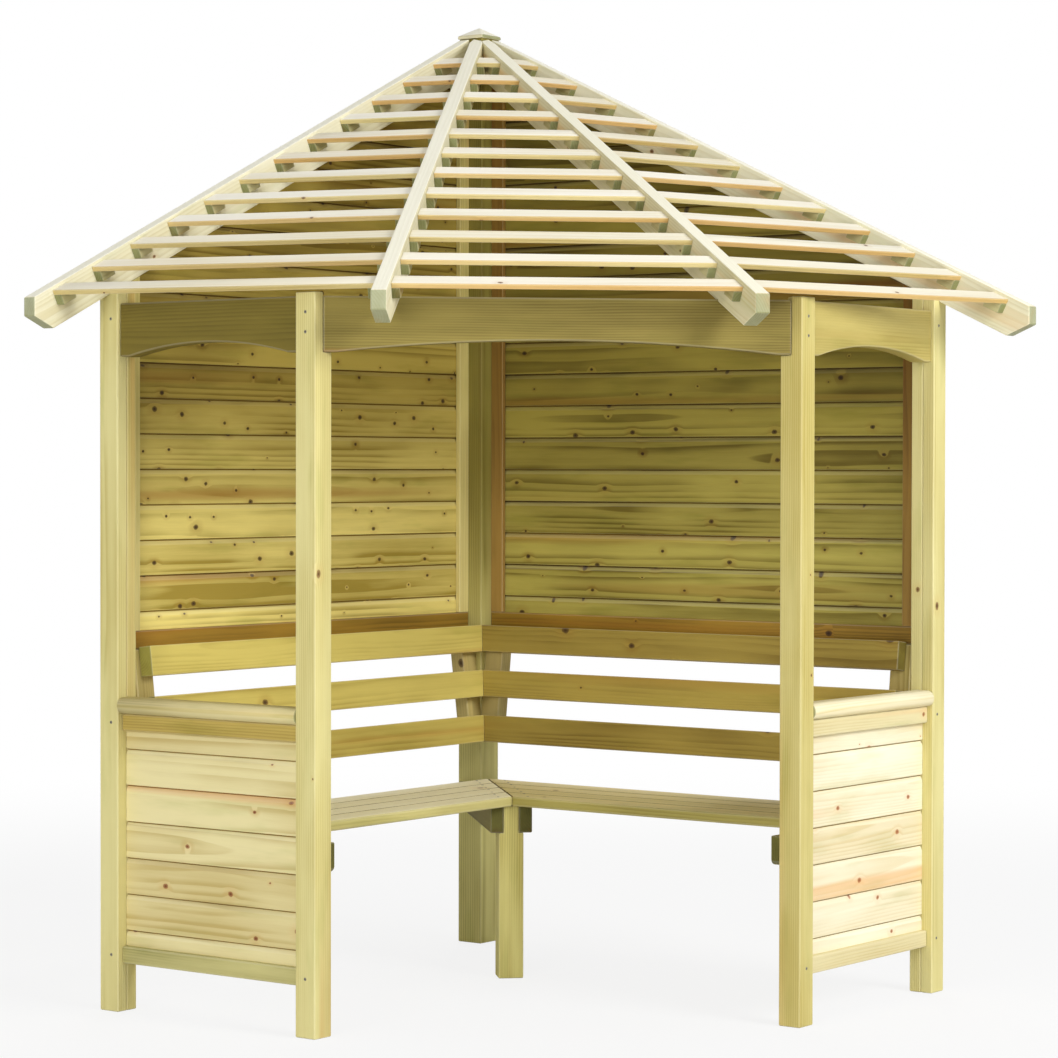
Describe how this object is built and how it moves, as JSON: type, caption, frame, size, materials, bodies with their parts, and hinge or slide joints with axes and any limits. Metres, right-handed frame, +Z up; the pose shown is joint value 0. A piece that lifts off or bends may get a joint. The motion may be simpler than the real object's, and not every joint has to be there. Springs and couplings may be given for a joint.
{
  "type": "corner garden arbor",
  "caption": "Corner garden arbor: boarded back walls meeting square at a tall post, low wings, corner bench and an open slatted roof fanned from the corner.",
  "frame": {"origin": "middle of the underside of the back corner post's foot", "axes": "+Z up, the open front faces -Y, +X to the right for someone looking in through the front; the two back walls run at 45 degrees to both, and the plane X = 0 is the plane of symmetry"},
  "size_m": [2.366, 1.6418, 2.4306],
  "materials": {
    "frame_timber": "planed pressure-treated softwood, pale straw with a green tint, dry and unvarnished",
    "wall_timber": "planed shiplap boards of pressure-treated softwood, olive gold with knots",
    "wing_timber": "planed shiplap boards and sawn rails of pressure-treated softwood, pale straw with knots",
    "roof_timber": "planed pressure-treated softwood, pale cream in the light, green end grain",
    "bench_timber": "planed pressure-treated softwood with eased edges, golden straw"
  },
  "bodies": {
    "root": {"back_corner_post": "frame_timber", "left_post_wing_half": "frame_timber", "left_post_wall_half": "frame_timber", "right_post_wing_half": "frame_timber", "right_post_wall_half": "frame_timber", "front_left_post": "frame_timber", "front_right_post": "frame_timber", "front_header": "frame_timber", "left_header": "frame_timber", "right_header": "frame_timber", "left_wall_panel": "wall_timber", "left_wall_bottom_rail": "wall_timber", "left_wall_battens": "frame_timber", "right_wall_panel": "wall_timber", "right_wall_bottom_rail": "wall_timber", "right_wall_battens": "frame_timber", "left_wing_panel": "wing_timber", "left_wing_top_rail": "wing_timber", "left_wing_bottom_rail": "wing_timber", "left_armrest": "bench_timber", "right_wing_panel": "wing_timber", "right_wing_top_rail": "wing_timber", "right_wing_bottom_rail": "wing_timber", "right_armrest": "bench_timber", "left_backrest_rails": "bench_timber", "left_backrest_bars": "bench_timber", "right_backrest_rails": "bench_timber", "right_backrest_bars": "bench_timber", "left_seat_slats": "bench_timber", "left_seat_end_bearer": "bench_timber", "right_seat_slats": "bench_timber", "right_seat_end_bearer": "bench_timber", "seat_corner_bearers": "bench_timber", "seat_corner_leg": "bench_timber", "left_wall_rafter": "roof_timber", "left_front_rafter": "roof_timber", "right_front_rafter": "roof_timber", "right_wall_rafter": "roof_timber", "left_roof_slats": "roof_timber", "centre_roof_slats": "roof_timber", "right_roof_slats": "roof_timber", "left_slat_blocks": "roof_timber", "centre_slat_blocks": "roof_timber", "right_slat_blocks": "roof_timber", "apex_cap": "roof_timber"}
  },
  "joints": []
}
